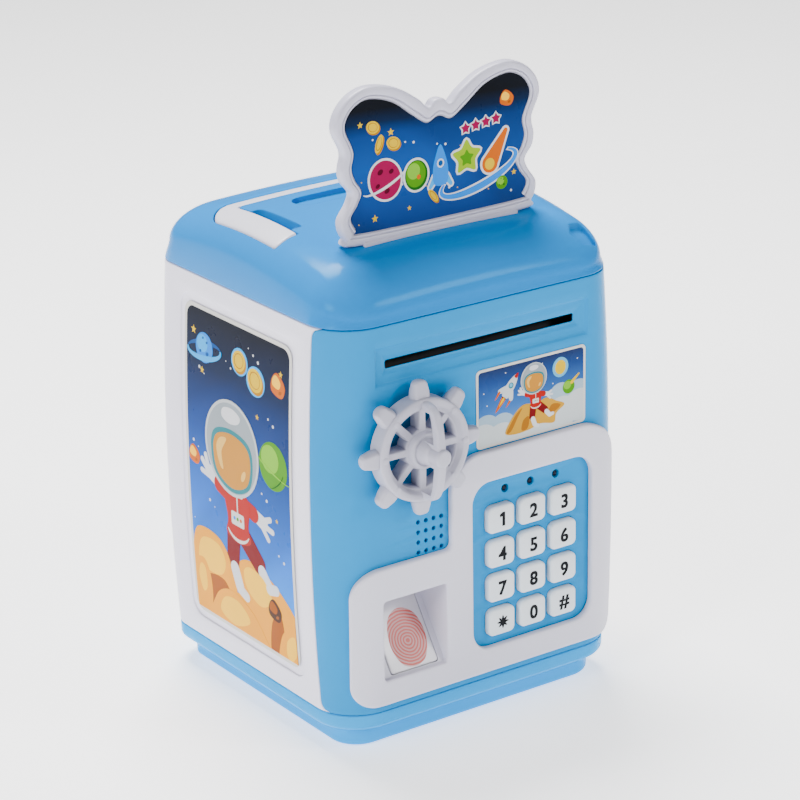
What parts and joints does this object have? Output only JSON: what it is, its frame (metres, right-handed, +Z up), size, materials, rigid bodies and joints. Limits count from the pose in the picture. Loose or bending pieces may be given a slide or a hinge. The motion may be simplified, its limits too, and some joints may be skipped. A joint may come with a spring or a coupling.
{
  "type": "toy atm savings bank",
  "caption": "Child's cash-machine money box with keypad door, turning wheel latch, fingerprint pad, banknote and coin slots, folding handle and an upright sign.",
  "frame": {"origin": "middle of the overall bounding box in plan, wheel boss included, at the underside of the feet", "axes": "+Z up; the door and keypad face -Y; the carry handle's hinge runs along X, with +X to the right as seen from the front"},
  "size_m": [0.136, 0.144, 0.2454],
  "materials": {
    "shell_white": "semi-gloss moulded",
    "lid_blue": "semi-gloss moulded",
    "door_blue": "semi-gloss moulded",
    "base_blue": "semi-gloss moulded",
    "fascia_white": "semi-gloss moulded",
    "handle_white": "semi-gloss moulded",
    "sign_white": "semi-gloss moulded",
    "wheel_white": "semi-gloss moulded",
    "key_white": "semi-gloss moulded",
    "label_print": "glossy printed film",
    "sign_print": "glossy printed film",
    "finger_pad": "printed film",
    "rubber_black": "matte",
    "mat_grey": "matte",
    "board_green": "semi-gloss moulded",
    "cover_white": "semi-gloss moulded",
    "dark_plastic": "semi-gloss moulded",
    "steel": "satin",
    "cell_green": "semi-gloss moulded",
    "led_red": "semi-gloss moulded"
  },
  "bodies": {
    "body": {"base": "base_blue", "foot_1": "rubber_black", "foot_2": "rubber_black", "foot_3": "rubber_black", "foot_4": "rubber_black", "base_screw_1": "steel", "base_screw_2": "steel", "base_screw_3": "steel", "base_screw_4": "steel", "body_shell": "shell_white", "label_left": "label_print", "label_right": "label_print", "top_cover": "lid_blue", "sign_frame": "sign_white", "sign_label": "sign_print", "hinge_pin_bottom": "steel", "hinge_pin_top": "steel"},
    "handle": {"carry_handle": "handle_white"},
    "door": {"door_panel": "door_blue", "fascia": "fascia_white", "front_label": "label_print", "door_back_cover": "cover_white", "circuit_board": "board_green", "key_mat": "mat_grey", "speaker": "dark_plastic", "led_1": "led_red", "led_2": "led_red", "led_3": "led_red", "feeder_housing": "dark_plastic", "feeder_motor": "steel", "battery_cover": "cover_white", "battery_1": "cell_green", "battery_2": "cell_green", "battery_3": "cell_green", "lock_solenoid": "steel", "cover_screw_1": "steel", "cover_screw_2": "steel", "cover_screw_3": "steel", "cover_screw_4": "steel"},
    "wheel": {"wheel_knob": "wheel_white", "latch_arm": "steel"},
    "plunger": {"lock_plunger": "steel"},
    "finger_button": {"fingerprint_button": "finger_pad"},
    "drive": {"drive_roller": "rubber_black"},
    "pressure": {"pressure_roller": "rubber_black"},
    "press_1": {"key_1": "key_white"},
    "press_2": {"key_2": "key_white"},
    "press_3": {"key_3": "key_white"},
    "press_4": {"key_4": "key_white"},
    "press_5": {"key_5": "key_white"},
    "press_6": {"key_6": "key_white"},
    "press_7": {"key_7": "key_white"},
    "press_8": {"key_8": "key_white"},
    "press_9": {"key_9": "key_white"},
    "press_star": {"key_star": "key_white"},
    "press_0": {"key_0": "key_white"},
    "press_hash": {"key_hash": "key_white"}
  },
  "joints": [
    {"name": "handle_fold", "type": "hinge", "parent": "body", "child": "handle", "pos_m": [0, -0.0012, 0.1873], "axis": [1, 0, 0], "range_deg": [0, 95]},
    {"name": "door_swing", "type": "hinge", "parent": "body", "child": "door", "pos_m": [0.0595, -0.0382, 0.09], "axis": [0, 0, 1], "range_deg": [0, 105]},
    {"name": "wheel_turn", "type": "hinge", "parent": "door", "child": "wheel", "pos_m": [-0.033, -0.0514, 0.1193], "axis": [0, 1, 0], "range_deg": [0, 90]},
    {"name": "lock_slide", "type": "slide", "parent": "door", "child": "plunger", "axis": [0, 1, 0], "range_m": [0, 0.0026], "stiffness_N_per_m": 100},
    {"name": "fingerprint_press", "type": "slide", "parent": "door", "child": "finger_button", "axis": [0, 0.8246, -0.5657], "range_m": [0, 0.001], "stiffness_N_per_m": 400},
    {"name": "drive_spin", "type": "hinge", "parent": "door", "child": "drive", "pos_m": [0, -0.0377, 0.1467], "axis": [1, 0, 0], "continuous": true},
    {"name": "pressure_spin", "type": "hinge", "parent": "door", "child": "pressure", "pos_m": [0, -0.0377, 0.155], "axis": [1, 0, 0], "continuous": true},
    {"name": "press_key_1", "type": "slide", "parent": "door", "child": "press_1", "axis": [0, 1, 0], "range_m": [0, 0.0012], "stiffness_N_per_m": 200},
    {"name": "press_key_2", "type": "slide", "parent": "door", "child": "press_2", "axis": [0, 1, 0], "range_m": [0, 0.0012], "stiffness_N_per_m": 200},
    {"name": "press_key_3", "type": "slide", "parent": "door", "child": "press_3", "axis": [0, 1, 0], "range_m": [0, 0.0012], "stiffness_N_per_m": 200},
    {"name": "press_key_4", "type": "slide", "parent": "door", "child": "press_4", "axis": [0, 1, 0], "range_m": [0, 0.0012], "stiffness_N_per_m": 200},
    {"name": "press_key_5", "type": "slide", "parent": "door", "child": "press_5", "axis": [0, 1, 0], "range_m": [0, 0.0012], "stiffness_N_per_m": 200},
    {"name": "press_key_6", "type": "slide", "parent": "door", "child": "press_6", "axis": [0, 1, 0], "range_m": [0, 0.0012], "stiffness_N_per_m": 200},
    {"name": "press_key_7", "type": "slide", "parent": "door", "child": "press_7", "axis": [0, 1, 0], "range_m": [0, 0.0012], "stiffness_N_per_m": 200},
    {"name": "press_key_8", "type": "slide", "parent": "door", "child": "press_8", "axis": [0, 1, 0], "range_m": [0, 0.0012], "stiffness_N_per_m": 200},
    {"name": "press_key_9", "type": "slide", "parent": "door", "child": "press_9", "axis": [0, 1, 0], "range_m": [0, 0.0012], "stiffness_N_per_m": 200},
    {"name": "press_key_star", "type": "slide", "parent": "door", "child": "press_star", "axis": [0, 1, 0], "range_m": [0, 0.0012], "stiffness_N_per_m": 200},
    {"name": "press_key_0", "type": "slide", "parent": "door", "child": "press_0", "axis": [0, 1, 0], "range_m": [0, 0.0012], "stiffness_N_per_m": 200},
    {"name": "press_key_hash", "type": "slide", "parent": "door", "child": "press_hash", "axis": [0, 1, 0], "range_m": [0, 0.0012], "stiffness_N_per_m": 200}
  ],
  "couplings": [
    {"joint": "pressure_spin", "follows": "drive_spin", "ratio": -1}
  ]
}
